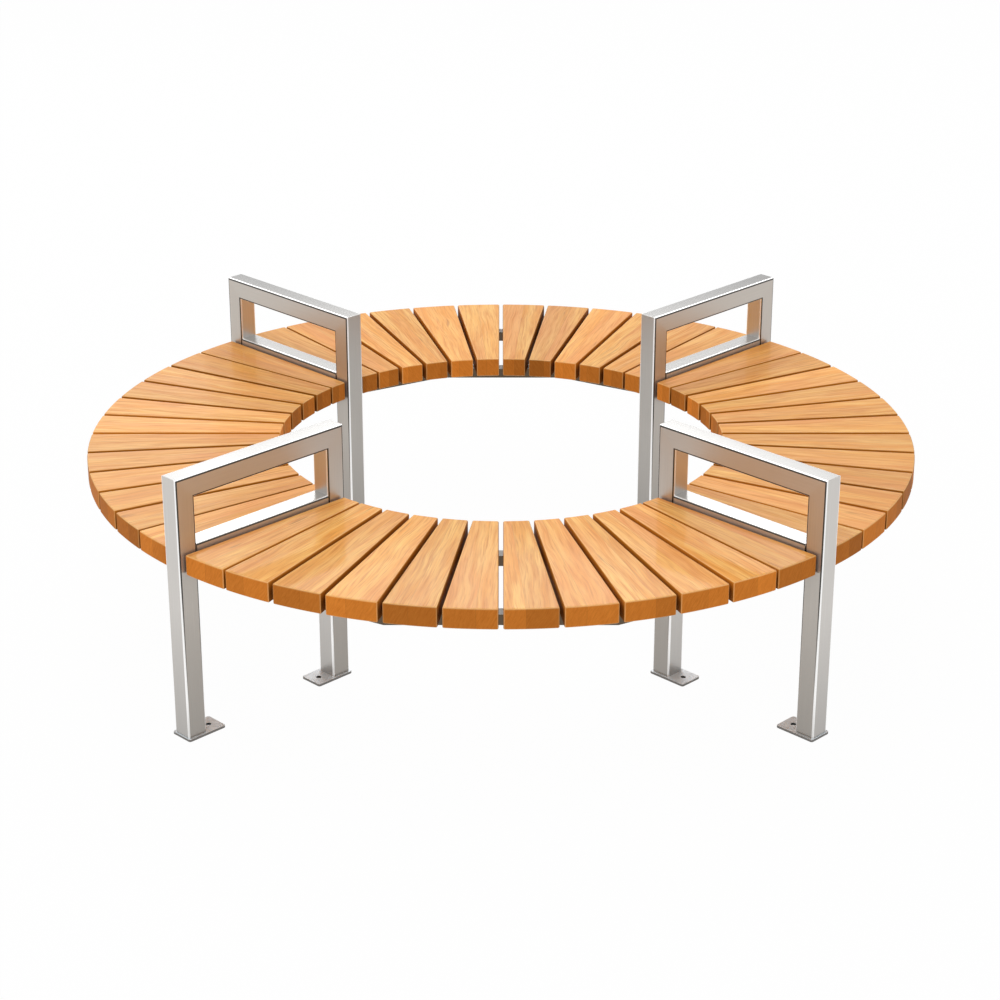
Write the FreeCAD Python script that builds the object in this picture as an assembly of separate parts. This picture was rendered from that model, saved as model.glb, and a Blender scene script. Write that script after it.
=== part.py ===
import FreeCAD
import Part
import math
import os

# Circular tree bench: a ring of tapered hardwood slats in four quadrants, carried by four
# identical frames of square stainless tube. All lengths are in millimetres and all
# angles in degrees. Z is up, the ground is z = 0 and the tree stands on the Z axis.
# Azimuth 0 is +X and runs anticlockwise seen from above.

# Seat ring
ring_outer_radius = 1000.0
ring_inner_radius = 540.0
seat_height = 455.0
slat_thickness = 48.0
slats_per_quadrant = 12
slat_gap = 10.0
end_slat_gap = 5.0
slat_to_frame_gap = 5.0
slat_edge_chamfer = 3.0

# Square tube of the frames
tube_width = 50.0
tube_wall = 3.0
tube_corner_radius = 4.0

# Frames: legs, armrest and seat rail
frame_count = 4
first_frame_azimuth = 45.0
outer_leg_overhang = 12.0
inner_leg_overhang = 8.0
armrest_rise = 175.0
seat_rail_rise = 14.0

# Base plates under the legs
base_plate_length = 103.0
base_plate_width = 62.0
base_plate_thickness = 6.0
base_plate_corner = 5.0
base_plate_overhang = 3.0
anchor_hole_radius = 6.0
anchor_hole_from_end = 25.0

# Channels under the slats, open downwards, in straight bars mitred to follow the ring
bars_per_channel = 3
channel_width = 30.0
channel_height = 25.0
channel_wall = 3.0
outer_channel_inset = 75.0
inner_channel_inset = 55.0
channel_end_gap = 6.0

# Flat ties that join the two channels of a carrier, each under the middle of a slat
tie_width = 30.0
tie_thickness = 6.0
tie_slats = (5, 8)

# Clamps that hold the channel ends up against the bearing blocks of a frame
clamp_length = 36.0
clamp_inner_reach = 9.0
clamp_outer_reach = 7.0
clamp_thickness = 8.0
bolt_radius = 4.0
bolt_hole_radius = 4.5
tapped_hole_clearance = 0.05
bolt_thread_in_block = 10.0
bolt_head_across_flats = 13.0
bolt_head_height = 5.3

# Places worked out from the sizes above
half_tube = tube_width / 2
outer_leg_face = ring_outer_radius + outer_leg_overhang
inner_leg_face = ring_inner_radius - inner_leg_overhang
armrest_top = seat_height + armrest_rise
seat_rail_bottom = seat_height + seat_rail_rise - tube_width
slat_bottom = seat_height - slat_thickness
channel_web_bottom = slat_bottom - channel_wall
clamp_bottom = channel_web_bottom - clamp_thickness
quadrant_angle = 360.0 / frame_count
bar_angle = quadrant_angle / bars_per_channel
outer_channel_face = ring_outer_radius - outer_channel_inset - channel_width
inner_channel_face = ring_inner_radius + inner_channel_inset
channel_faces = (inner_channel_face, outer_channel_face)
quadrant_names = ("back", "left", "front", "right")
frame_names = ("back_right", "back_left", "front_left", "front_right")

up = FreeCAD.Vector(0, 0, 1)
origin = FreeCAD.Vector(0, 0, 0)


def turned(shape, azimuth):
    """A copy of the shape, turned about the tree's axis."""
    copy = shape.copy()
    copy.rotate(origin, up, azimuth)
    return copy


def block(low, high):
    """A box between two corners."""
    size = [high[i] - low[i] for i in range(3)]
    return Part.makeBox(size[0], size[1], size[2], FreeCAD.Vector(*low))


def prism(points, thrust):
    """A flat outline of points, pushed along a vector."""
    corners = [FreeCAD.Vector(*point) for point in points]
    return Part.Face(Part.makePolygon(corners + corners[:1])).extrude(thrust)


def upright_edges(shape):
    """The edges of a plate that join its underside to its top."""
    return [edge for edge in shape.Edges if edge.BoundBox.ZLength > shape.BoundBox.ZLength / 2]


def rounded_square(width, radius):
    """A closed square wire about the Z axis, with an arc at each corner."""
    half = width / 2
    flat = half - radius
    middle = flat + radius * math.cos(math.radians(45))
    edges = []
    for turn in range(4):
        line = Part.makeLine(FreeCAD.Vector(half, -flat, 0), FreeCAD.Vector(half, flat, 0))
        arc = Part.Arc(FreeCAD.Vector(half, flat, 0), FreeCAD.Vector(middle, middle, 0),
                       FreeCAD.Vector(flat, half, 0)).toShape()
        edges += [turned(line, 90 * turn), turned(arc, 90 * turn)]
    return Part.Wire(edges)


def square(width):
    """A closed square wire about the Z axis with sharp corners."""
    half = width / 2
    corners = [(half, -half), (half, half), (-half, half), (-half, -half), (half, -half)]
    return Part.makePolygon([FreeCAD.Vector(x, y, 0) for x, y in corners])


def tube(length):
    """Square hollow tube that stands on z = 0, centred on the Z axis."""
    outside = rounded_square(tube_width, tube_corner_radius)
    inside = square(tube_width - 2 * tube_wall)
    section = Part.makeFace([outside, inside], "Part::FaceMakerBullseye")
    return section.extrude(FreeCAD.Vector(0, 0, length))


def upright_tube(near_face, bottom, top):
    """Upright tube in the XZ plane whose face nearest the tree is at x = near_face."""
    shape = tube(top - bottom)
    shape.translate(FreeCAD.Vector(near_face + half_tube, 0, bottom))
    return shape


def level_tube(start, end, bottom):
    """Level tube in the XZ plane, from x = start to x = end."""
    shape = tube(end - start)
    shape.rotate(origin, FreeCAD.Vector(0, 1, 0), 90)
    shape.translate(FreeCAD.Vector(start, 0, bottom + half_tube))
    return shape


def mitre_waste(corner, inward, below):
    """What a mitre at the armrest's corner takes off: the part below its plane, or above.

    corner is the leg's outward face, and inward is +1 or -1, towards the frame's middle.
    """
    low = (corner + inward * 2 * tube_width, armrest_top - 2 * tube_width)
    high = (corner - inward * tube_width, armrest_top + tube_width)
    third = (high[0], low[1]) if below else (low[0], high[1])
    points = [(x, -tube_width, z) for x, z in (low, high, third)]
    return prism(points, FreeCAD.Vector(0, 2 * tube_width, 0))


def base_plate(leg_face, inward):
    """Plate that stands out a little round the leg, with one anchor hole beyond it.

    leg_face is the leg's outward face, and inward is +1 or -1, towards the frame's middle.
    """
    start = leg_face - inward * base_plate_overhang
    end = start + inward * base_plate_length
    low = (min(start, end), -base_plate_width / 2, 0)
    high = (max(start, end), base_plate_width / 2, base_plate_thickness)
    plate = block(low, high)
    plate = plate.makeChamfer(base_plate_corner, upright_edges(plate))
    hole_place = FreeCAD.Vector(end - inward * anchor_hole_from_end, 0, 0)
    return plate.cut(Part.makeCylinder(anchor_hole_radius, base_plate_thickness, hole_place))


def at_frame_plane(channel_face):
    """Radius of a channel's mitred corner, where it reaches the plane of a frame."""
    return channel_face / math.cos(math.radians(bar_angle / 2))


def clamp_bolt_radius(channel_face):
    """Distance from the tree's axis to the clamp bolt of a channel."""
    return at_frame_plane(channel_face + channel_width / 2)


def bearing_block(channel_face):
    """Block between the seat rail and the channel ends, tapped for the clamp bolt."""
    low = (at_frame_plane(channel_face), -half_tube, slat_bottom)
    high = (at_frame_plane(channel_face + channel_width), half_tube, seat_rail_bottom)
    place = FreeCAD.Vector(clamp_bolt_radius(channel_face), 0, slat_bottom)
    hole = Part.makeCylinder(bolt_radius + tapped_hole_clearance, high[2] - low[2], place)
    return block(low, high).cut(hole)


def frame():
    """One welded frame in the XZ plane: its tubes, plates and blocks as touching solids."""
    outer_leg = upright_tube(outer_leg_face - tube_width, base_plate_thickness, armrest_top)
    inner_leg = upright_tube(inner_leg_face, base_plate_thickness, armrest_top)
    armrest = level_tube(inner_leg_face, outer_leg_face, armrest_top - tube_width)
    for corner, inward in ((outer_leg_face, -1), (inner_leg_face, 1)):
        armrest = armrest.cut(mitre_waste(corner, inward, below=True))
    outer_leg = outer_leg.cut(mitre_waste(outer_leg_face, -1, below=False))
    inner_leg = inner_leg.cut(mitre_waste(inner_leg_face, 1, below=False))
    rail_start = inner_leg_face + tube_width
    rail_end = outer_leg_face - tube_width
    seat_rail = level_tube(rail_start, rail_end, seat_rail_bottom)
    plates = [base_plate(outer_leg_face, -1), base_plate(inner_leg_face, 1)]
    blocks = [bearing_block(face) for face in channel_faces]
    return Part.makeCompound([outer_leg, inner_leg, armrest, seat_rail] + plates + blocks)


def ring_point(radius, line_azimuth, offset):
    """Point at a radius, on a line that runs beside the radial line at an azimuth."""
    along = math.sqrt(radius ** 2 - offset ** 2)
    return FreeCAD.Rotation(up, line_azimuth).multVec(FreeCAD.Vector(along, offset, 0))


def gap_half_width(number):
    """Half the width of the gap that follows a slat.

    Gap 0 is the room of the first frame and the last gap is that of the next frame. The
    slat beside a frame lies closer to its neighbour than the others do.
    """
    if number in (0, slats_per_quadrant):
        return half_tube + slat_to_frame_gap
    if number in (1, slats_per_quadrant - 1):
        return end_slat_gap / 2
    return slat_gap / 2


def rim_angle(half_width):
    """Angle at the outer rim from a gap's middle line to its edge."""
    return math.degrees(math.asin(half_width / ring_outer_radius))


def gaps_angle(first, last):
    """Angle at the outer rim that the gaps between two numbers take up together."""
    return sum(2 * rim_angle(gap_half_width(number)) for number in range(first, last + 1))


def slat_angle():
    """Angle across one slat at the outer rim, where all of them are equally wide."""
    beside_frames = 2 * rim_angle(gap_half_width(0))
    free = quadrant_angle - beside_frames - gaps_angle(1, slats_per_quadrant - 1)
    return free / slats_per_quadrant


def slat_start(number):
    """Azimuth where a slat's outer end starts, from the frame's plane on."""
    beside_frame = rim_angle(gap_half_width(0))
    return beside_frame + (number - 1) * slat_angle() + gaps_angle(1, number - 1)


def slat_middle(number):
    """Azimuth of the middle of a slat's outer end, from the frame's plane on."""
    return slat_start(number) + slat_angle() / 2


def gap_line(number):
    """Azimuth of a gap's middle line, from the frame's plane on, and the gap's half width."""
    half_width = gap_half_width(number)
    return slat_start(number + 1) - rim_angle(half_width), half_width


def slat(number):
    """One tapered slat of the quadrant that starts at azimuth 0, its ends cut to the ring."""
    low_azimuth, low_half = gap_line(number - 1)
    high_azimuth, high_half = gap_line(number)
    middle = slat_middle(number)
    inner_low = ring_point(ring_inner_radius, low_azimuth, low_half)
    inner_high = ring_point(ring_inner_radius, high_azimuth, -high_half)
    outer_low = ring_point(ring_outer_radius, low_azimuth, low_half)
    outer_high = ring_point(ring_outer_radius, high_azimuth, -high_half)
    outline = Part.Wire([
        Part.makeLine(inner_low, outer_low),
        Part.Arc(outer_low, ring_point(ring_outer_radius, middle, 0), outer_high).toShape(),
        Part.makeLine(outer_high, inner_high),
        Part.Arc(inner_high, ring_point(ring_inner_radius, middle, 0), inner_low).toShape(),
    ])
    shape = Part.Face(outline).extrude(FreeCAD.Vector(0, 0, slat_thickness))
    rims = [edge for edge in shape.Edges if edge.BoundBox.ZMin > slat_thickness / 2]
    shape = shape.makeChamfer(slat_edge_chamfer, rims)
    shape.translate(FreeCAD.Vector(0, 0, slat_bottom))
    return shape


def channel_bar(channel_face):
    """One straight bar of a channel across azimuth 0, mitred at both ends."""
    far = channel_face + channel_width
    low = slat_bottom - channel_height
    outline = [
        (channel_face, low),
        (channel_face, slat_bottom),
        (far, slat_bottom),
        (far, low),
        (far - channel_wall, low),
        (far - channel_wall, channel_web_bottom),
        (channel_face + channel_wall, channel_web_bottom),
        (channel_face + channel_wall, low),
    ]
    bar = prism([(x, -far, z) for x, z in outline], FreeCAD.Vector(0, 2 * far, 0))
    reach = 2 * far
    side = reach * math.tan(math.radians(bar_angle / 2))
    corners = [(0, 0, low), (reach, -side, low), (reach, side, low)]
    return bar.common(prism(corners, FreeCAD.Vector(0, 0, channel_height)))


def channel(channel_face):
    """The bars of one channel from frame to frame, as touching solids."""
    frame_room = block((0, -channel_end_gap, 0), (outer_leg_face, channel_end_gap, seat_height))
    rooms = frame_room.fuse(turned(frame_room, quadrant_angle))
    one_bar = channel_bar(channel_face)
    bars = []
    for index in range(bars_per_channel):
        bar = turned(one_bar, (index + 0.5) * bar_angle)
        bars += bar.cut(rooms).Solids
    return bars


def tie(number):
    """Flat bar between the two channels, under the middle of a slat."""
    azimuth = slat_middle(number)
    index = math.floor(azimuth / bar_angle)
    start = inner_channel_face + channel_width
    low = slat_bottom - tie_thickness
    bar = block((0, -tie_width / 2, low), (ring_outer_radius, tie_width / 2, slat_bottom))
    room = block((start, -outer_leg_face, low), (outer_channel_face, outer_leg_face, slat_bottom))
    return turned(bar, azimuth).common(turned(room, (index + 0.5) * bar_angle)).Solids[0]


def carrier():
    """What carries the slats of one quadrant: two channels welded to flat ties."""
    ties = [tie(number) for number in tie_slats]
    return Part.makeCompound(channel(inner_channel_face) + channel(outer_channel_face) + ties)


def clamp_plate(channel_face):
    """Plate inside two channel ends, drilled for its bolt, in the frame at azimuth 0."""
    middle = clamp_bolt_radius(channel_face)
    low = (middle - clamp_inner_reach, -clamp_length / 2, clamp_bottom)
    high = (middle + clamp_outer_reach, clamp_length / 2, channel_web_bottom)
    place = FreeCAD.Vector(middle, 0, clamp_bottom)
    return block(low, high).cut(Part.makeCylinder(bolt_hole_radius, clamp_thickness, place))


def clamp_bolt(channel_face):
    """Hexagon bolt up through a clamp plate into its bearing block."""
    corner = FreeCAD.Vector(bolt_head_across_flats / math.sqrt(3), 0, 0)
    hexagon = [FreeCAD.Rotation(up, 60 * side).multVec(corner) for side in range(6)]
    head = prism(hexagon, FreeCAD.Vector(0, 0, -bolt_head_height))
    shank = clamp_thickness + channel_wall + bolt_thread_in_block
    shape = head.fuse(Part.makeCylinder(bolt_radius, shank))
    shape.translate(FreeCAD.Vector(clamp_bolt_radius(channel_face), 0, clamp_bottom))
    return shape


def under_every_frame(make):
    """One fastener for each channel under each frame, as a group of separate solids."""
    copies = []
    for index in range(frame_count):
        for face in channel_faces:
            copies.append(turned(make(face), first_frame_azimuth + index * quadrant_angle))
    return Part.makeCompound(copies)


def all_nodes():
    """Every piece of the bench by its name."""
    nodes = {}
    one_frame = frame()
    one_carrier = carrier()
    slats = [slat(number) for number in range(1, slats_per_quadrant + 1)]
    for index in range(frame_count):
        azimuth = first_frame_azimuth + index * quadrant_angle
        nodes["frame_" + frame_names[index]] = turned(one_frame, azimuth)
        nodes["carrier_" + quadrant_names[index]] = turned(one_carrier, azimuth)
        for number, shape in enumerate(slats, start=1):
            name = "slat_%s_%02d" % (quadrant_names[index], number)
            nodes[name] = turned(shape, azimuth)
    nodes["clamp_plates"] = under_every_frame(clamp_plate)
    nodes["clamp_bolts"] = under_every_frame(clamp_bolt)
    return nodes


def main():
    os.makedirs("parts", exist_ok=True)
    for name, shape in all_nodes().items():
        if not shape.isValid():
            raise ValueError("not a valid shape: " + name)
        shape.exportStep("parts/%s.step" % name)


main()
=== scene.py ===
import math
import random

import bmesh
import bpy
from mathutils import Matrix, Vector


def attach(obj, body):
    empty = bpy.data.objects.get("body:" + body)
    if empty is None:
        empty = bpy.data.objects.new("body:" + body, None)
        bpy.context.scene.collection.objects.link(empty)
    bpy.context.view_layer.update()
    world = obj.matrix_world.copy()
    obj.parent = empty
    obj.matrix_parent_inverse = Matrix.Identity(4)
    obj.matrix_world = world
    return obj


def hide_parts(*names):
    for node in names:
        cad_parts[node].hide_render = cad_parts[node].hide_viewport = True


# The looks of the circular tree bench: eased hardwood boards, brushed steel frames with
# mitred corners, and the screws that hold the boards from below. All lengths are in
# metres and all angles in degrees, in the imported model's own frame: Z is up, the ground
# is z = 0, the tree stands on the Z axis and azimuth 0 is +X.

# Seat ring
ring_outer_radius = 1.000
ring_inner_radius = 0.540
seat_height = 0.455
slat_thickness = 0.048
slats_per_quadrant = 12
slat_gap = 0.010
end_slat_gap = 0.005
slat_to_frame_gap = 0.005
slat_arris = 0.0035

# Frames of square tube
tube_width = 0.050
tube_corner_radius = 0.005
mitre_arris = 0.0015
frame_count = 4
first_frame_azimuth = 45.0
outer_leg_face = 1.012
inner_leg_face = 0.532
armrest_top = 0.630
seat_rail_rise = 0.014
lying_lines_shift = 3.0

# Base plates
base_plate_length = 0.103
base_plate_width = 0.062
base_plate_thickness = 0.006
base_plate_corner = 0.004995
base_plate_overhang = 0.003
base_plate_arris = 0.0012
anchor_hole_radius = 0.006
anchor_hole_from_end = 0.025

# Channels under the slats, and the screws through them
bars_per_channel = 3
channel_width = 0.030
channel_wall = 0.003
outer_channel_face = 0.895
inner_channel_face = 0.595
screw_head_radius = 0.0045
screw_head_height = 0.0026
screw_flank_share = 0.35
screw_shoulder_share = 0.8
screw_shoulder_width_share = 0.86
screw_flat_width_share = 0.6
screw_socket_radius = 0.0016
screw_socket_depth = 0.0014

# Steps of the round shapes
outer_end_steps = 12
inner_end_steps = 8
slat_arris_steps = 4
tube_corner_steps = 5
mitre_steps = 3
plate_corner_steps = 4
plate_arris_steps = 3
anchor_hole_steps = 32
screw_steps = 24
floor_steps = 64

# Edges, faces and vertices told apart
sharp_angle = 50.0
level_face_least_z = 0.7
merge_distance = 0.000001

# Places worked out from the sizes above
half_tube = tube_width / 2
slat_bottom = seat_height - slat_thickness
channel_web_bottom = slat_bottom - channel_wall
seat_rail_middle = seat_height + seat_rail_rise - half_tube
armrest_middle = armrest_top - half_tube
outer_leg_middle = outer_leg_face - half_tube
inner_leg_middle = inner_leg_face + half_tube
quadrant_angle = 360.0 / frame_count
bar_angle = quadrant_angle / bars_per_channel
channel_faces = (inner_channel_face, outer_channel_face)
quadrant_names = ("back", "left", "front", "right")
frame_names = ("back_right", "back_left", "front_left", "front_right")

# Camera
camera_distance = 5.527
camera_height = 2.614
camera_pitch = 22.92
camera_yaw = 0.025
camera_lens = 87.3
camera_sensor = 36

# Studio
light_aim = (0, 0, 0.4)
sky_strength = 0.55
floor_radius = 30
floor_drop = 0.0005
floor_glow_share = 0.98

# Each board's own look, drawn at random
largest_seed = 50
largest_seam_offset = 0.012
chance = random.Random(11)


# Meshes and objects

def new_piece(name, bm, materials, node):
    """A shown object from a finished bmesh, smooth but for its sharp edges, on the bench."""
    for edge in sharp_edges(bm):
        edge.smooth = False
    mesh = bpy.data.meshes.new(name)
    bm.to_mesh(mesh)
    bm.free()
    mesh.polygons.foreach_set("use_smooth", [True] * len(mesh.polygons))
    for material in materials:
        mesh.materials.append(material)
    piece = bpy.data.objects.new(name, mesh)
    bpy.context.scene.collection.objects.link(piece)
    shading = piece.modifiers.new("even shading", "WEIGHTED_NORMAL")
    shading.keep_sharp = True
    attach(piece, "root")
    if node:
        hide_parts(node)
    return piece


def turn(bm, azimuth):
    """Turns a bmesh about the tree's axis."""
    rotation = Matrix.Rotation(math.radians(azimuth), 3, "Z")
    bmesh.ops.rotate(bm, verts=bm.verts, cent=(0, 0, 0), matrix=rotation)


def round_edges(bm, edges, radius, segments):
    """Rounds the given edges of a bmesh."""
    bmesh.ops.bevel(bm, geom=edges, offset=radius, segments=segments, profile=0.5,
                    affect="EDGES", clamp_overlap=True)


def sharp_edges(bm):
    """Edges whose two faces meet at more than the sharp angle, with the normals made right."""
    bmesh.ops.recalc_face_normals(bm, faces=bm.faces)
    bm.normal_update()
    limit = math.radians(sharp_angle)
    return [edge for edge in bm.edges if len(edge.link_faces) == 2
            and edge.calc_face_angle() > limit]


def bridge(bm, ring_a, ring_b):
    """Quads between two rings of vertices with the same count."""
    for index in range(len(ring_a)):
        after = (index + 1) % len(ring_a)
        bm.faces.new((ring_a[index], ring_a[after], ring_b[after], ring_b[index]))


# Slats

def gap_half_width(number):
    """Half the width of the gap that follows a slat; 0 and the last are the frames' room."""
    if number in (0, slats_per_quadrant):
        return half_tube + slat_to_frame_gap
    if number in (1, slats_per_quadrant - 1):
        return end_slat_gap / 2
    return slat_gap / 2


def rim_angle(half_width):
    """Angle at the outer rim from a gap's middle line to its edge."""
    return math.degrees(math.asin(half_width / ring_outer_radius))


def gaps_angle(first, last):
    """Angle at the outer rim that the gaps between two numbers take up together."""
    return sum(2 * rim_angle(gap_half_width(number)) for number in range(first, last + 1))


def slat_angle():
    """Angle across one slat at the outer rim, where all of them are equally wide."""
    beside_frames = 2 * rim_angle(gap_half_width(0))
    free = quadrant_angle - beside_frames - gaps_angle(1, slats_per_quadrant - 1)
    return free / slats_per_quadrant


def slat_start(number):
    """Azimuth where a slat's outer end starts, from the frame's plane on."""
    beside_frame = rim_angle(gap_half_width(0))
    return beside_frame + (number - 1) * slat_angle() + gaps_angle(1, number - 1)


def slat_middle(number):
    """Azimuth of the middle of a slat's outer end, from the frame's plane on."""
    return slat_start(number) + slat_angle() / 2


def gap_line(number):
    """Azimuth of a gap's middle line, from the frame's plane on, and the gap's half width."""
    half_width = gap_half_width(number)
    return slat_start(number + 1) - rim_angle(half_width), half_width


def arc(radius, start, end, steps):
    """Points along a circle about the tree's axis, between two angles in radians."""
    points = []
    for step in range(steps + 1):
        angle = start + (end - start) * step / steps
        points.append(Vector((radius * math.cos(angle), radius * math.sin(angle), 0)))
    return points


def slat_outline(number):
    """Plan of a slat, anticlockwise, with the middle of its outer end along +X."""
    middle = slat_middle(number)
    low_azimuth, low_half = gap_line(number - 1)
    high_azimuth, high_half = gap_line(number)

    def side_angle(radius, azimuth, offset):
        return math.radians(azimuth - middle) + math.asin(offset / radius)

    ends = []
    for radius in (ring_outer_radius, ring_inner_radius):
        low = side_angle(radius, low_azimuth, low_half)
        high = side_angle(radius, high_azimuth, -high_half)
        ends.append((low, high))
    outer, inner = ends
    return (arc(ring_outer_radius, outer[0], outer[1], outer_end_steps)
            + arc(ring_inner_radius, inner[1], inner[0], inner_end_steps))


def carry(piece, kind, values_name, values):
    """Stores a value for every vertex of a piece, for its material to read."""
    attribute = piece.data.attributes.new(values_name, kind, "POINT")
    field = "vector" if kind == "FLOAT_VECTOR" else "value"
    attribute.data.foreach_set(field, values)


def board_shape(number):
    """A slat with eased edges as a bmesh, with its length along X."""
    bm = bmesh.new()
    outline = slat_outline(number)
    low = [bm.verts.new((point.x, point.y, slat_bottom)) for point in outline]
    high = [bm.verts.new((point.x, point.y, seat_height)) for point in outline]
    bm.faces.new(list(reversed(low)))
    bm.faces.new(high)
    bridge(bm, low, high)
    round_edges(bm, sharp_edges(bm), slat_arris, slat_arris_steps)
    bm.normal_update()
    for face in bm.faces:
        face.material_index = int(abs(face.normal.z) < level_face_least_z)
    return bm


def board(name, node, number, azimuth, materials):
    """One slat in its place, with its own tone, figure and glue line.

    The material reads the places from before the turn, so that the figure runs along
    the board.
    """
    bm = board_shape(number)
    places = [value for vertex in bm.verts for value in vertex.co]
    count = len(bm.verts)
    turned_by = azimuth + slat_middle(number)
    turn(bm, turned_by)
    piece = new_piece(name, bm, materials, node)
    heading = math.radians(turned_by)
    direction = (math.cos(heading), math.sin(heading), 0.0)
    carry(piece, "FLOAT_VECTOR", "place", places)
    carry(piece, "FLOAT_VECTOR", "lengthwise", direction * count)
    looks = {
        "seed": chance.uniform(0, largest_seed),
        "tone": chance.uniform(-1, 1),
        "blush": chance.uniform(0, 1),
        "seam": chance.uniform(-largest_seam_offset, largest_seam_offset),
        "split": chance.uniform(-1, 1),
    }
    for key, value in looks.items():
        carry(piece, "FLOAT", key, [value] * count)


# Frames

def rounded_rectangle(half_x, half_y, radius, steps):
    """Points round a rectangle with round corners, as pairs."""
    points = []
    for quarter, (sign_x, sign_y) in enumerate(((1, 1), (-1, 1), (-1, -1), (1, -1))):
        for step in range(steps + 1):
            angle = math.radians(90 * (quarter + step / steps))
            points.append((sign_x * (half_x - radius) + radius * math.cos(angle),
                           sign_y * (half_y - radius) + radius * math.sin(angle)))
    return points


def corner_station(corner, from_side, to_side, share):
    """Places a section at a mitred corner whose outer edge is eased.

    from_side and to_side point out of the loop, before and after the corner. share runs
    from 0 to 1 round the eased edge.
    """
    pivot = half_tube - mitre_arris
    angle = math.radians(90 * share)
    turned = from_side * math.cos(angle) + to_side * math.sin(angle)

    def place(outward, across):
        inside = min(outward, pivot)
        point = corner + (from_side + to_side) * inside + turned * (outward - inside)
        return point + Vector((0, across, 0))

    return place


def straight_station(middle, side):
    """Places a section square to a tube that ends here."""
    return lambda outward, across: middle + side * outward + Vector((0, across, 0))


def add_sweep(bm, stations):
    """Skins a tube through its stations and closes its ends.

    Each vertex carries how far it lies round the tube's corner, from 0 on the faces that
    look out of the frame's loop, or into it, to 1 on the two faces beside the slats.
    Where stations meet on the inside of a mitre, their vertices become one.
    """
    layer = bm.verts.layers.float["corner"]
    profile = rounded_rectangle(half_tube, half_tube, tube_corner_radius, tube_corner_steps)
    rings = []
    for place in stations:
        ring = [bm.verts.new(place(*point)) for point in profile]
        for index, vertex in enumerate(ring):
            quarter, step = divmod(index, tube_corner_steps + 1)
            share = step / tube_corner_steps
            vertex[layer] = share if quarter % 2 == 0 else 1 - share
        rings.append(ring)
    for ring_a, ring_b in zip(rings, rings[1:]):
        bridge(bm, ring_a, ring_b)
    bm.faces.new(rings[0])
    bm.faces.new(list(reversed(rings[-1])))
    made = [vertex for ring in rings for vertex in ring]
    bmesh.ops.remove_doubles(bm, verts=made, dist=merge_distance)


def add_loop(bm):
    """Legs and armrest of the frame in the XZ plane, mitred into one loop."""
    out, up, inward = Vector((1, 0, 0)), Vector((0, 0, 1)), Vector((-1, 0, 0))
    outer_foot = Vector((outer_leg_middle, 0, base_plate_thickness))
    inner_foot = Vector((inner_leg_middle, 0, base_plate_thickness))
    outer_corner = Vector((outer_leg_middle, 0, armrest_middle))
    inner_corner = Vector((inner_leg_middle, 0, armrest_middle))
    shares = [step / mitre_steps for step in range(mitre_steps + 1)]
    stations = [straight_station(outer_foot, out)]
    stations += [corner_station(outer_corner, out, up, share) for share in shares]
    stations += [corner_station(inner_corner, up, inward, share) for share in shares]
    stations.append(straight_station(inner_foot, inward))
    add_sweep(bm, stations)


def add_seat_rail(bm):
    """Seat rail between the legs of the frame in the XZ plane."""
    up = Vector((0, 0, 1))
    ends = (outer_leg_face - tube_width, inner_leg_face + tube_width)
    add_sweep(bm, [straight_station(Vector((x, 0, seat_rail_middle)), up) for x in ends])


def add_base_plate(bm, leg_face, inward):
    """Base plate with round corners, eased edges and its anchor hole."""
    start = leg_face - inward * base_plate_overhang
    end = start + inward * base_plate_length
    hole_x = end - inward * anchor_hole_from_end
    middle = (start + end) / 2
    rectangle = rounded_rectangle(base_plate_length / 2, base_plate_width / 2,
                                  base_plate_corner, plate_corner_steps)
    circle = arc(anchor_hole_radius, 0, math.tau, anchor_hole_steps)[:-1]
    outline = [(middle + x, y) for x, y in rectangle]
    hole = [(hole_x + point.x, point.y) for point in circle]
    edges = []
    for points in (outline, hole):
        ring = [bm.verts.new((x, y, 0)) for x, y in points]
        edges += [bm.edges.new((ring[i - 1], ring[i])) for i in range(len(ring))]
    filled = bmesh.ops.triangle_fill(bm, use_beauty=True, edges=edges)
    faces = [item for item in filled["geom"] if isinstance(item, bmesh.types.BMFace)]
    raised = bmesh.ops.extrude_face_region(bm, geom=faces, use_keep_orig=True)
    top = [item for item in raised["geom"] if isinstance(item, bmesh.types.BMVert)]
    bmesh.ops.translate(bm, verts=top, vec=(0, 0, base_plate_thickness))


def in_anchor_hole(face):
    """Whether a face of a base plate belongs to the wall of its anchor hole."""
    middle = face.calc_center_median()
    holes = (outer_leg_face + base_plate_overhang - base_plate_length + anchor_hole_from_end,
             inner_leg_face - base_plate_overhang + base_plate_length - anchor_hole_from_end)
    nearest = min(math.hypot(middle.x - x, middle.y) for x in holes)
    return nearest < anchor_hole_radius + base_plate_arris / 2


def add_bearing_block(bm, channel_face):
    """Block between the seat rail and the ends of a channel."""
    at_plane = 1 / math.cos(math.radians(bar_angle / 2))
    low = Vector((channel_face * at_plane, -half_tube, slat_bottom))
    high = Vector(((channel_face + channel_width) * at_plane, half_tube,
                   seat_rail_middle - half_tube))
    place = Matrix.Translation((low + high) / 2) @ Matrix.Diagonal((*(high - low), 1))
    bmesh.ops.create_cube(bm, size=1, matrix=place)


def runs_upright(point):
    """Whether the tube at a place on a frame is a leg, split from the armrest at the mitre."""
    beyond_outer = point.x - outer_leg_middle
    beyond_inner = inner_leg_middle - point.x
    above = point.z - armrest_middle
    in_rail = max(beyond_outer, beyond_inner) < -half_tube
    upright = not in_rail and max(beyond_outer, beyond_inner) >= above
    return upright and point.z > base_plate_thickness


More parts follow.
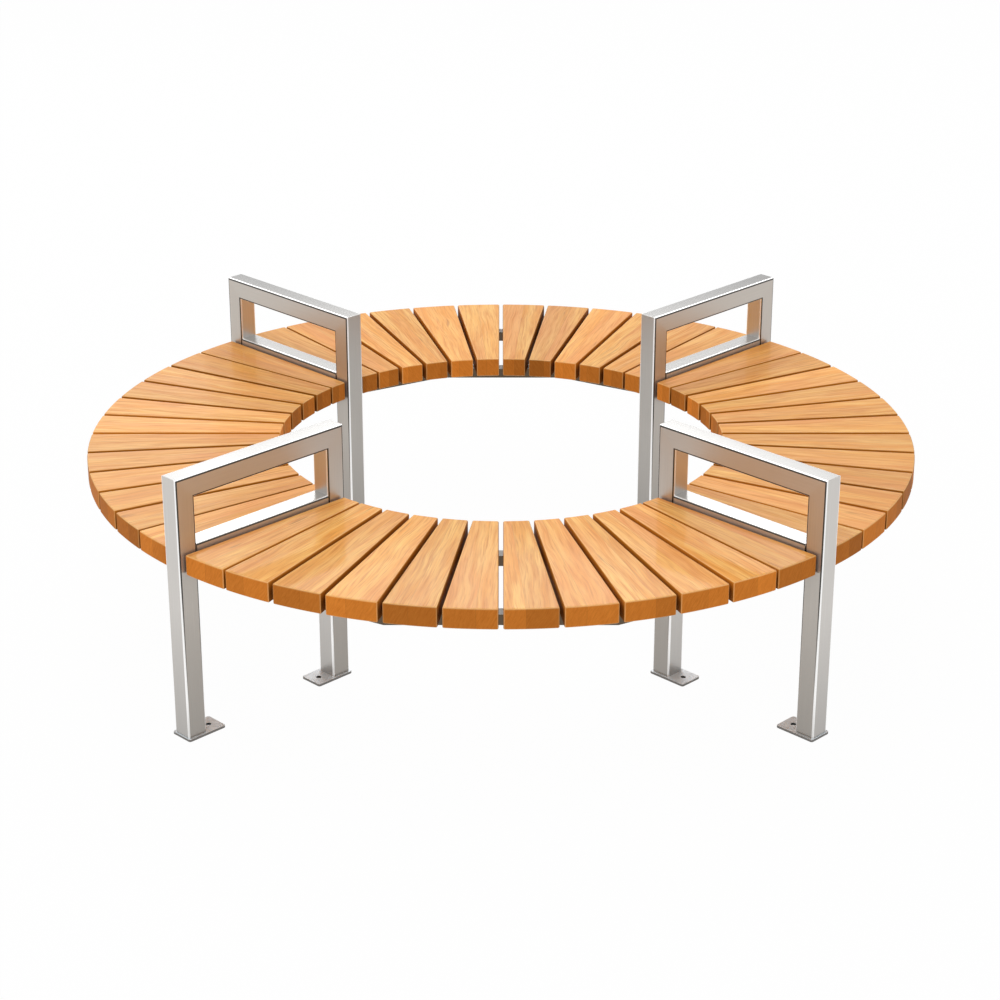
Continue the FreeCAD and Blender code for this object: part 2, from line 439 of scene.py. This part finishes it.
def brushed_map(bm):
    """UV map whose U follows each tube, so that the brushing turns at the mitres.

    Lying tubes take their lines from further on than the legs. Each face also carries 1
    where the tube stands upright and 0 where it lies.
    """
    layer = bm.loops.layers.uv.new("along")
    upright_layer = bm.loops.layers.float.new("upright")
    for face in bm.faces:
        upright = runs_upright(face.calc_center_median())
        for loop in face.loops:
            x, y, z = loop.vert.co
            loop[layer].uv = (z, x + y) if upright else (x + lying_lines_shift, z + y)
            loop[upright_layer] = float(upright)


def frame_piece(name, node, azimuth, materials):
    """One welded frame as a single piece."""
    bm = bmesh.new()
    bm.verts.layers.float.new("corner")
    add_base_plate(bm, outer_leg_face, -1)
    add_base_plate(bm, inner_leg_face, 1)
    round_edges(bm, sharp_edges(bm), base_plate_arris, plate_arris_steps)
    for face in bm.faces:
        face.material_index = 2 if in_anchor_hole(face) else 1
    for channel_face in channel_faces:
        add_bearing_block(bm, channel_face)
    add_loop(bm)
    add_seat_rail(bm)
    brushed_map(bm)
    turn(bm, azimuth)
    new_piece(name, bm, materials, node)


# Screws

def add_screw(bm, middle):
    """Pan head with a hexagon socket, seen from below."""
    lowest = -screw_head_height
    sixth = math.tau / 6
    rings = [
        (screw_head_radius, 0.0, False),
        (screw_head_radius, lowest * screw_flank_share, False),
        (screw_head_radius * screw_shoulder_width_share, lowest * screw_shoulder_share, False),
        (screw_head_radius * screw_flat_width_share, lowest, False),
        (screw_socket_radius, lowest, True),
        (screw_socket_radius, lowest + screw_socket_depth, True),
    ]
    made = []
    for radius, height, hexagonal in rings:
        ring = []
        for index in range(screw_steps):
            angle = math.tau * index / screw_steps
            reach = radius
            if hexagonal:
                reach = radius / math.cos(angle % sixth - sixth / 2)
            across = (reach * math.cos(angle), reach * math.sin(angle), height)
            ring.append(bm.verts.new(middle + Vector(across)))
        made.append(ring)
    for ring_a, ring_b in zip(made, made[1:]):
        bridge(bm, ring_a, ring_b)
    bm.faces.new(made[0])
    bm.faces.new(list(reversed(made[-1])))


def screw_places():
    """Two places under every slat, on the middle line of each channel's web."""
    places = []
    for index in range(frame_count):
        for number in range(1, slats_per_quadrant + 1):
            within = slat_middle(number)
            from_bar = within % bar_angle - bar_angle / 2
            azimuth = math.radians(first_frame_azimuth + index * quadrant_angle + within)
            for face in channel_faces:
                radius = (face + channel_width / 2) / math.cos(math.radians(from_bar))
                x = radius * math.cos(azimuth)
                y = radius * math.sin(azimuth)
                places.append(Vector((x, y, channel_web_bottom)))
    return places


# Materials

class Shader:
    """The nodes of a material or of the world, with short ways to add and join them."""

    def __init__(self, owner):
        self.owner = owner
        owner.use_nodes = True
        self.tree = owner.node_tree
        self.tree.nodes.clear()

    def add(self, kind, inputs=None, **settings):
        """A node of a kind, with its settings and its inputs, which may be other outputs."""
        node = self.tree.nodes.new("ShaderNode" + kind)
        for key, value in settings.items():
            setattr(node, key, value)
        for key, value in (inputs or {}).items():
            if isinstance(value, bpy.types.NodeSocket):
                self.tree.links.new(value, node.inputs[key])
            else:
                node.inputs[key].default_value = value
        return node

    def math(self, operation, first, second=0.0, clamp=False):
        """Result of an operation on two numbers."""
        node = self.add("Math", {0: first, 1: second}, operation=operation, use_clamp=clamp)
        return node.outputs[0]

    def spread(self, value, low, high, new_low=0.0, new_high=1.0):
        """A number moved from one range to another, and kept inside it."""
        node = self.add("MapRange", {"Value": value, "From Min": low, "From Max": high,
                                     "To Min": new_low, "To Max": new_high})
        return node.outputs[0]

    def band(self, value, rise, fall, top=1.0):
        """A share that rises over one range of a number and falls from a top over another."""
        climb = self.spread(value, *rise)
        return self.math("MULTIPLY", climb, self.spread(value, *fall, top, 0.0))

    def between(self, share, first, second):
        """A number between two others."""
        return self.add("Mix", {0: share, 2: first, 3: second}).outputs[0]

    def blend(self, share, first, second, mode="MIX"):
        """Two colours mixed."""
        node = self.add("Mix", {0: share, 6: first, 7: second}, data_type="RGBA",
                        blend_type=mode)
        return node.outputs[2]

    def shaded(self, colour, tone):
        """A colour multiplied by a number."""
        grey = self.add("CombineColor", {0: tone, 1: tone, 2: tone}).outputs[0]
        return self.blend(1.0, colour, grey, "MULTIPLY")

    def moved(self, vector, offset):
        """A vector with another one added."""
        return self.add("VectorMath", {0: vector, 1: offset}, operation="ADD").outputs[0]

    def stretched(self, vector, factors):
        """A vector with each of its parts multiplied."""
        node = self.add("VectorMath", {0: vector, 1: factors}, operation="MULTIPLY")
        return node.outputs[0]

    def part(self, vector, letter):
        """X, Y or Z of a vector."""
        return self.add("SeparateXYZ", {0: vector}).outputs[letter]

    def noise(self, vector, scale=1.0, detail=2.0, roughness=0.5, distortion=0.0):
        """Soft noise from 0 to 1."""
        node = self.add("TexNoise", {"Vector": vector, "Scale": scale, "Detail": detail,
                                     "Roughness": roughness, "Distortion": distortion})
        return node.outputs["Fac"]

    def grain(self, place, along, across, **settings):
        """Noise drawn out along X, with so many waves in a metre along and across."""
        return self.noise(self.stretched(place, (along, across, across)), **settings)

    def attribute(self, name, output="Fac"):
        """A number, or with Vector a place, that the mesh carries."""
        return self.add("Attribute", attribute_name=name).outputs[output]

    def model_place(self):
        """The place on the bench, in the model's own frame."""
        return self.add("TexCoord").outputs["Object"]

    def lean(self, direction):
        """How far the surface looks along a direction, or away from it, from 0 to 1."""
        facing = self.add("TexCoord").outputs["Normal"]
        product = self.add("VectorMath", {0: facing, 1: direction}, operation="DOT_PRODUCT")
        return self.math("ABSOLUTE", product.outputs["Value"])

    def finish(self, surface):
        """Sends a shader to the surface."""
        self.add("OutputMaterial", {"Surface": surface})
        return self.owner


def new_material(name):
    """The empty nodes of a new material."""
    return Shader(bpy.data.materials.new(name))


# Colours of the wood
honey = (0.855, 0.378, 0.060, 1)
straw = (0.955, 0.545, 0.150, 1)
amber = (0.620, 0.205, 0.028, 1)
blush = (0.780, 0.300, 0.090, 1)
umber = (0.260, 0.085, 0.015, 1)
# Painted highlight on the eased edges of the boards
arris_painted_highlight = (1.000, 0.640, 0.280, 1)
# Painted shade on the arris where a board turns down into a gap
gap_painted_shade = (0.200, 0.068, 0.008, 1)
# Sides in the gaps: painted shade that deepens further down
side_high = (0.560, 0.192, 0.020, 1)
side_painted_shade = (0.260, 0.082, 0.008, 1)
end_light = (0.710, 0.238, 0.034, 1)
end_dark = (0.560, 0.160, 0.017, 1)

# Colours of the steel
loop_steel = (0.630, 0.605, 0.575, 1)
# Painted shade on the tube faces beside the slats
side_steel_shade = (0.505, 0.472, 0.431, 1)
top_steel = (0.375, 0.369, 0.360, 1)
# Painted shade on the tube faces towards the tree
inner_steel_shade = (0.470, 0.445, 0.415, 1)
# Painted dark reflection line and painted highlight along the round corners of the tubes
steel_painted_dark_reflection = (0.030, 0.028, 0.026, 1)
steel_painted_highlight = (1.000, 0.995, 0.985, 1)
plate_top = (0.780, 0.840, 0.885, 1)
# Painted shade on the plates' thin sides
plate_side_shade = (0.200, 0.190, 0.180, 1)
# Painted shade inside the anchor holes
anchor_hole_shade = (0.040, 0.038, 0.036, 1)
channel_flat = (0.400, 0.385, 0.365, 1)
# Painted shade on the upright faces of the channels
channel_side_shade = (0.125, 0.092, 0.062, 1)
fastener_grey = (0.450, 0.445, 0.440, 1)

# Colours of the studio
white = (1, 1, 1, 1)
floor_white = (0.82, 0.82, 0.82, 1)

# How strongly each layer of the wood shows
drift_strength = 0.55
streak_strength = 0.55
fleck_strength = 0.68
rare_line_strength = 0.50
blush_strength = 0.22
fibre_strength = 0.06
board_tone_strength = 0.09
far_side_tone_strength = 0.07
sawn_tone_strength = 1.8
pore_strength = 0.20
glue_line_strength = 0.22
sawn_glue_line_strength = 0.25
# Strengths of the painted highlight on the eased edges of the tops and of the sawn faces
arris_highlight_strength = 0.6
sawn_arris_highlight_strength = 0.35

# Sizes in the wood's figure
figure_sway = 0.006
far_side_shift = 7.3
shift_to_side = 1.7
shift_to_depth = 2.9
glue_line_half_width = 0.0003
glue_line_fade_end = 0.0009
ring_slant = 28
# Depth over which the painted shade deepens on the sides in the gaps
side_shade_depth = 0.022
wood_relief = 0.0004
wood_relief_strength = 0.10

# Tones of the tube, where 1 leaves a colour as it is: painted reflection on the armrests,
# painted shade at the feet and beside the slats
# Painted reflection on the armrest tops, lighter inwards and darker outwards
armrest_inner_reflection_tone = 1.20
armrest_outer_reflection_tone = 0.70
seat_rail_tone = 1.30
# Painted shade at the feet, fading upwards
foot_shade_tone = 0.70
foot_shade_height = 0.32
# Less painted shade beside the slats above the seat
side_shade_lift_above_seat = 0.12

# Finish of the steel
loop_metallic = 0.92
side_metallic = 0.72
tube_roughness = 0.34
top_roughness = 0.22
plate_metallic = 0.5
plate_roughness = 0.50
channel_metallic = 0.9


def board_grain(s):
    """Place in the figure, distance from the glue line and tone of that side of the board."""
    place = s.attribute("place", "Vector")
    from_seam = s.math("SUBTRACT", s.part(place, "Y"), s.attribute("seam"))
    far_side = s.math("GREATER_THAN", from_seam, 0.0)
    shift = s.math("ADD", s.attribute("seed"), s.math("MULTIPLY", far_side, far_side_shift))
    offset = s.add("CombineXYZ", {0: shift, 1: s.math("MULTIPLY", shift, shift_to_side),
                                  2: s.math("MULTIPLY", shift, shift_to_depth)})
    moved = s.moved(place, offset.outputs[0])
    waves = s.grain(moved, along=6.0, across=11.0, detail=1.0)
    sway = s.add("CombineXYZ", {1: s.spread(waves, 0.25, 0.75, -figure_sway, figure_sway)})
    moved = s.moved(moved, sway.outputs[0])
    far_tone = s.math("MULTIPLY", far_side, s.attribute("split"))
    side_tone = s.math("MULTIPLY", far_tone, far_side_tone_strength)
    board_tone = s.math("MULTIPLY", s.attribute("tone"), board_tone_strength)
    tone = s.math("ADD", s.math("ADD", board_tone, side_tone), 1.0)
    return moved, from_seam, tone


def glue_line(s, from_seam, strength):
    """Share of the thin dark line along the glue."""
    distance = s.math("ABSOLUTE", from_seam)
    return s.spread(distance, glue_line_half_width, glue_line_fade_end, strength, 0.0)


def wood_bump(s, height):
    """Slight relief of the fibres."""
    bump = s.add("Bump", {"Strength": wood_relief_strength, "Distance": wood_relief,
                          "Height": height})
    return bump.outputs[0]


def board_figure(s, moved, streaks):
    """Colours of the figure: broad bands, streaks, flecks and a few rare dark lines."""
    drift = s.grain(moved, along=2.0, across=9.0)
    figure = s.grain(moved, along=3.2, across=36.0, detail=3.0, distortion=0.9)
    flecks = s.grain(moved, along=11.0, across=250.0, roughness=0.6)
    rare = s.grain(moved, along=7.0, across=80.0)
    colour = s.blend(s.spread(figure, 0.38, 0.62), honey, straw)
    colour = s.blend(s.spread(drift, 0.44, 0.66, 0.0, drift_strength), colour, blush)
    colour = s.blend(s.spread(streaks, 0.46, 0.72, 0.0, streak_strength), colour, amber)
    colour = s.blend(s.spread(flecks, 0.48, 0.70, 0.0, fleck_strength), colour, amber)
    colour = s.blend(s.spread(rare, 0.68, 0.78, 0.0, rare_line_strength), colour, umber)
    return s.blend(s.math("MULTIPLY", s.attribute("blush"), blush_strength), colour, blush)


def board_edges(s, colour):
    """A board's colour with a painted highlight on its eased edges, and painted shade where it
    turns down into a gap.
    """
    above = s.lean((0, 0, 1))
    # Painted highlight on the eased edges
    eased = s.band(above, (0.45, 0.70), (0.86, 0.98), arris_highlight_strength)
    colour = s.blend(eased, colour, arris_painted_highlight)
    # Painted shade where the arris turns down into a gap, left off the ends
    at_end = s.spread(s.lean(s.attribute("lengthwise", "Vector")), 0.15, 0.35)
    turned_down = s.spread(above, 0.45, 0.90, 1.0, 0.0)
    gap_shade_share = s.math("SUBTRACT", turned_down, at_end, clamp=True)
    return s.blend(gap_shade_share, colour, gap_painted_shade)


def board_material():
    """Oiled hardwood: long soft figure, fine fibres and a painted highlight on the eased edges.
    """
    s = new_material("slat_wood")
    moved, from_seam, tone = board_grain(s)
    streaks = s.grain(moved, along=5.0, across=115.0, detail=3.0, roughness=0.6, distortion=0.4)
    fibres = s.grain(moved, along=22.0, across=520.0, roughness=0.6)
    fibre_tone = s.spread(fibres, 0.25, 0.75, -fibre_strength, fibre_strength)
    colour = s.shaded(board_figure(s, moved, streaks), s.math("ADD", tone, fibre_tone))
    colour = s.blend(glue_line(s, from_seam, glue_line_strength), colour, umber)
    relief = s.math("ADD", s.math("MULTIPLY", fibres, 0.5), streaks)
    wood = s.add("BsdfPrincipled", {
        "Base Color": board_edges(s, colour),
        "Roughness": s.spread(streaks, 0.3, 0.7, 0.40, 0.50),
        "Specular IOR Level": 0.08,
        "Coat Weight": 0.22,
        "Coat Roughness": 0.09,
        "Coat IOR": 1.5,
        "Normal": wood_bump(s, relief),
    })
    return s.finish(wood.outputs[0])


def sawn_ends(s, moved, from_seam, pores):
    """Colour of the end grain: slanting rings, fine pores and the glue line."""
    slant = s.add("VectorRotate", {"Vector": moved, "Angle": math.radians(ring_slant)},
                  rotation_type="X_AXIS")
    flattened = s.stretched(slant.outputs[0], (0.0, 300.0, 45.0))
    rings = s.noise(flattened, detail=3.0, roughness=0.6, distortion=0.8)
    ends = s.blend(s.spread(rings, 0.25, 0.75), end_light, end_dark)
    ends = s.blend(s.spread(pores, 0.45, 0.75, 0.0, pore_strength), ends, umber)
    return s.blend(glue_line(s, from_seam, sawn_glue_line_strength), ends, umber)


def sawn_sides(s):
    """Colour of the sides in the gaps, with painted shade that darkens them further down."""
    height = s.part(s.attribute("place", "Vector"), "Z")
    # Painted shade, darker deeper in the gap
    fade_start = seat_height - side_shade_depth
    depth = s.spread(height, fade_start, seat_height - slat_arris, 1.0, 0.0)
    return s.blend(depth, side_high, side_painted_shade)


def sawn_material():
    """Sawn ends and sides of the boards: darker and more matt than their tops."""
    s = new_material("slat_sawn_faces")
    moved, from_seam, tone = board_grain(s)
    pores = s.grain(moved, along=0.0, across=700.0, roughness=0.6)
    endways = s.lean(s.attribute("lengthwise", "Vector"))
    ends = sawn_ends(s, moved, from_seam, pores)
    colour = s.blend(s.spread(endways, 0.4, 0.6), sawn_sides(s), ends)
    # Painted highlight on the upright eased edges at the ends
    upright_arris = s.band(endways, (0.40, 0.60), (0.90, 0.98), sawn_arris_highlight_strength)
    colour = s.blend(upright_arris, colour, arris_painted_highlight)
    two_tone = s.math("MULTIPLY", s.math("SUBTRACT", tone, 1.0), sawn_tone_strength)
    tone = s.math("ADD", s.math("ADD", tone, two_tone), 0.02)
    wood = s.add("BsdfPrincipled", {
        "Base Color": s.shaded(colour, tone),
        "Roughness": 0.60,
        "Specular IOR Level": 0.06,
        "Normal": wood_bump(s, pores),
    })
    return s.finish(wood.outputs[0])


def brushed_lines(s, place):
    """Fine lines of the brushing, along the first axis of a place."""
    return s.grain(place, along=5.0, across=850.0, detail=3.0, roughness=0.6)


def brushed_roughness(s, lines, roughness):
    """Roughness that follows the lines and drifts a little over the surface."""
    cloud = s.noise(s.model_place(), scale=5.0, detail=3.0)
    return s.math("ADD", s.spread(lines, 0.35, 0.65, roughness - 0.03, roughness + 0.03),
                  s.spread(cloud, 0.3, 0.7, -0.02, 0.02))


def tube_top(s, radius, height):
    """Colour of the tops: even on the seat rails, and on the armrests a painted reflection that
    darkens outwards.
    """
    # Painted reflection along the armrest tops
    armrest_reflection_tone = s.spread(radius, inner_leg_face, outer_leg_face,
                            armrest_inner_reflection_tone, armrest_outer_reflection_tone)
    on_armrest = s.spread(height, 0.50, 0.60)
    return s.shaded(top_steel, s.between(on_armrest, seat_rail_tone, armrest_reflection_tone))


def tube_faces(s, lines, radius, height, beside_slats, on_top):
    """Colour of the flat faces, with painted shade beside the slats (less above the seat),
    towards the tree and at the feet.
    """
    # Painted shade on the faces towards the tree
    off_inner_face = s.spread(radius, inner_leg_face + 0.002, inner_leg_face + 0.024)
    colour = s.blend(off_inner_face, inner_steel_shade, loop_steel)
    # Painted shade on the faces beside the slats
    colour = s.blend(beside_slats, colour, side_steel_shade)
    colour = s.blend(on_top, colour, tube_top(s, radius, height))
    # Painted shade at the feet
    tone = s.math("MULTIPLY", s.spread(lines, 0.35, 0.65, 0.95, 1.04),
                  s.spread(height, 0.0, foot_shade_height, foot_shade_tone, 1.0))
    # Painted shade beside the slats, lighter above the seat
    above_seat = s.math("MULTIPLY", beside_slats,
                        s.spread(height, 0.40, 0.46, 0.0, side_shade_lift_above_seat))
    return s.shaded(colour, s.math("ADD", tone, above_seat))


def tube_corners(s, colour, corner, height):
    """A colour with the painted highlight and the painted dark reflection line of the corners,
    both weaker at the feet.
    """
    # Painted highlight on one half of each corner and painted dark reflection on the other
    split = s.math("SUBTRACT", corner, s.spread(height, 0.08, 0.42, 0.84, 0.50))
    bright = s.math("MULTIPLY", s.spread(corner, 0.02, 0.10),
                    s.spread(split, -0.05, 0.02, 1.0, 0.0))
    bright = s.math("MULTIPLY", bright, s.spread(height, 0.02, 0.10, 0.6, 1.0))
    dark = s.math("MULTIPLY", s.spread(split, -0.01, 0.04),
                  s.spread(corner, 0.95, 1.00, 1.0, 0.0))
    dark = s.math("MULTIPLY", dark, s.spread(height, 0.06, 0.36, 0.15, 0.95))
    return s.blend(dark, s.blend(bright, colour, steel_painted_highlight), steel_painted_dark_reflection)


def brushing_direction(s, flat_place):
    """Upwards on the upright tubes, and away from the tree's axis on the lying ones."""
    outwards = s.add("VectorMath", {0: flat_place}, operation="NORMALIZE").outputs[0]
    along = s.add("Mix", {0: s.attribute("upright"), 4: outwards, 5: (0, 0, 1)},
                  data_type="VECTOR")
    return along.outputs[1]


def tube_material():
    """Brushed tube: its lines and its gloss follow the tube, and its tops are smoother."""
    s = new_material("frame_steel")
    lines = brushed_lines(s, s.add("UVMap", uv_map="along").outputs[0])
    height = s.part(s.model_place(), "Z")
    flat_place = s.stretched(s.model_place(), (1.0, 1.0, 0.0))
    radius = s.add("VectorMath", {0: flat_place}, operation="LENGTH").outputs["Value"]
    corner = s.attribute("corner")
    beside_slats = s.spread(corner, 0.4, 0.6)
    on_top = s.spread(s.lean((0, 0, 1)), 0.75, 0.95)
    colour = tube_faces(s, lines, radius, height, beside_slats, on_top)
    metallic = s.spread(beside_slats, 0.0, 1.0, loop_metallic, side_metallic)
    rough = brushed_roughness(s, lines, tube_roughness)
    steel = s.add("BsdfPrincipled", {
        "Base Color": tube_corners(s, colour, corner, height),
        "Metallic": s.math("MAXIMUM", metallic, on_top),
        "Roughness": s.between(on_top, rough, top_roughness),
        "Anisotropic": 0.55,
        "Anisotropic Rotation": 0.25,
        "Tangent": brushing_direction(s, flat_place),
    })
    return s.finish(steel.outputs[0])


def brushed_material(name, colour, roughness):
    """Plain steel with fine lines that all run one way."""
    s = new_material(name)
    lines = brushed_lines(s, s.model_place())
    steel = s.add("BsdfPrincipled", {
        "Base Color": s.shaded(colour, s.spread(lines, 0.35, 0.65, 0.94, 1.04)),
        "Metallic": 1.0,
        "Roughness": brushed_roughness(s, lines, roughness),
    })
    return s.finish(steel.outputs[0])


def plate_material():
    """Base plates: pale on top, with a painted highlight along the eased edges and painted
    shade on the thin sides.
    """
    s = new_material("plate_steel")
    lines = brushed_lines(s, s.model_place())
    above = s.lean((0, 0, 1))
    # Painted shade on the thin sides
    colour = s.blend(s.spread(above, 0.3, 0.6), plate_side_shade, plate_top)
    # Painted highlight along the eased edges
    colour = s.blend(s.band(above, (0.4, 0.6), (0.90, 0.98), 0.9), colour, steel_painted_highlight)
    steel = s.add("BsdfPrincipled", {
        "Base Color": s.shaded(colour, s.spread(lines, 0.35, 0.65, 0.95, 1.04)),
        "Metallic": plate_metallic,
        "Roughness": brushed_roughness(s, lines, plate_roughness),
    })
    return s.finish(steel.outputs[0])


def channel_material():
    """Rolled channels and ties under the seat: pale flat faces, and painted shade on the
    upright ones.
    """
    s = new_material("carrier_steel")
    cloud = s.noise(s.model_place(), scale=14.0, detail=4.0, roughness=0.6)
    # Painted shade on the upright faces of the channels
    flat = s.spread(s.lean((0, 0, 1)), 0.4, 0.8)
    colour = s.blend(flat, channel_side_shade, channel_flat)
    steel = s.add("BsdfPrincipled", {
        "Base Color": s.shaded(colour, s.spread(cloud, 0.3, 0.7, 0.90, 1.08)),
        "Metallic": channel_metallic,
        "Roughness": s.spread(cloud, 0.3, 0.7, 0.38, 0.48),
    })
    return s.finish(steel.outputs[0])


# The studio

def background_share(s):
    """1 for the rays that should see the plain white background."""
    path = s.add("LightPath")
    seen = s.math("MAXIMUM", path.outputs["Is Camera Ray"], path.outputs["Is Glossy Ray"])
    return s.math("MAXIMUM", seen, path.outputs["Is Transmission Ray"])


def floor_material():
    """White floor that keeps a faint shadow."""
    s = new_material("floor_white")
    matt = s.add("BsdfDiffuse", {"Color": floor_white})
    glow = s.add("Emission", {"Color": white, "Strength": 1.0})
    share = s.math("MULTIPLY", background_share(s), floor_glow_share)
    mixed = s.add("MixShader", {0: share, 1: matt.outputs[0], 2: glow.outputs[0]})
    return s.finish(mixed.outputs[0])


def make_world():
    """White where it is seen, and a soft even light on everything else."""
    world = bpy.data.worlds.new("studio")
    bpy.context.scene.world = world
    s = Shader(world)
    strength = s.spread(background_share(s), 0.0, 1.0, sky_strength, 1.0)
    sky = s.add("Background", {"Color": white, "Strength": strength})
    s.add("OutputWorld", {"Surface": sky.outputs[0]})


def soft_light(name, place, size, radiance):
    """Rectangular studio light, sized in metres, aimed at the bench and not seen itself."""
    light = bpy.data.lights.new(name, "AREA")
    light.shape = "RECTANGLE"
    light.size, light.size_y = size
    light.energy = radiance * math.pi * size[0] * size[1]
    lamp = bpy.data.objects.new(name, light)
    lamp.location = place
    towards = Vector(light_aim) - Vector(place)
    lamp.rotation_euler = towards.to_track_quat("-Z", "Y").to_euler()
    lamp.visible_camera = False
    bpy.context.scene.collection.objects.link(lamp)


def make_floor():
    """Large white floor just under the base plates."""
    bm = bmesh.new()
    bmesh.ops.create_circle(bm, cap_ends=True, segments=floor_steps, radius=floor_radius)
    mesh = bpy.data.meshes.new("floor")
    bm.to_mesh(mesh)
    bm.free()
    mesh.materials.append(floor_material())
    floor = bpy.data.objects.new("floor", mesh)
    floor.location.z = -floor_drop
    bpy.context.scene.collection.objects.link(floor)


def make_camera():
    """Camera at the photograph's place."""
    camera = bpy.data.objects.new("camera", bpy.data.cameras.new("camera"))
    camera.data.lens = camera_lens
    camera.data.sensor_width = camera_sensor
    camera.location = (0, -camera_distance, camera_height)
    camera.rotation_euler = (math.radians(90 - camera_pitch), 0, math.radians(camera_yaw))
    bpy.context.scene.collection.objects.link(camera)
    bpy.context.scene.camera = camera


# The bench

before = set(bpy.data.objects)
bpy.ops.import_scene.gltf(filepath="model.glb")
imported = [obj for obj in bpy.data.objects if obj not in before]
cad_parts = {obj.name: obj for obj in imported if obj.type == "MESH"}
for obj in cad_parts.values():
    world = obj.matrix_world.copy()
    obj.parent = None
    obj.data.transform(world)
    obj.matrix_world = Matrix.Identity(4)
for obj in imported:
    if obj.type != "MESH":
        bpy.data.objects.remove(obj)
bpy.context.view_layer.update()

woods = [board_material(), sawn_material()]
tube_steel = tube_material()
plate_steel = plate_material()
# Painted shade inside the anchor holes
anchor_hole_shade_steel = brushed_material("anchor_hole_shade_steel", anchor_hole_shade, roughness=0.50)
carrier_steel = channel_material()
fastener_steel = brushed_material("fastener_steel", fastener_grey, roughness=0.26)

for index in range(frame_count):
    azimuth = first_frame_azimuth + index * quadrant_angle
    node = "frame_" + frame_names[index]
    frame_piece("steel_" + node, node, azimuth, [tube_steel, plate_steel, anchor_hole_shade_steel])
    for number in range(1, slats_per_quadrant + 1):
        place = "%s_%02d" % (quadrant_names[index], number)
        board("board_" + place, "slat_" + place, number, azimuth, woods)

screws = bmesh.new()
for place in screw_places():
    add_screw(screws, place)
new_piece("slat_screws", screws, [fastener_steel], None)

finishes = {"clamp_plates": fastener_steel, "clamp_bolts": fastener_steel}
for name in quadrant_names:
    finishes["carrier_" + name] = carrier_steel
for node, material in finishes.items():
    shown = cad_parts[node]
    for slot in shown.material_slots:
        slot.material = material

make_floor()
make_world()
soft_light("back", place=(0.0, 5.9, 5.1), size=(6.0, 3.2), radiance=3.1)
soft_light("back_left", place=(-2.9, 5.9, 2.7), size=(3.0, 1.7), radiance=1.3)
soft_light("top", place=(-0.6, -0.4, 5.0), size=(3.6, 3.6), radiance=1.4)
soft_light("key", place=(-1.6, -4.2, 2.6), size=(1.8, 1.6), radiance=3.2)
make_camera()
bpy.context.scene.view_settings.view_transform = "Standard"
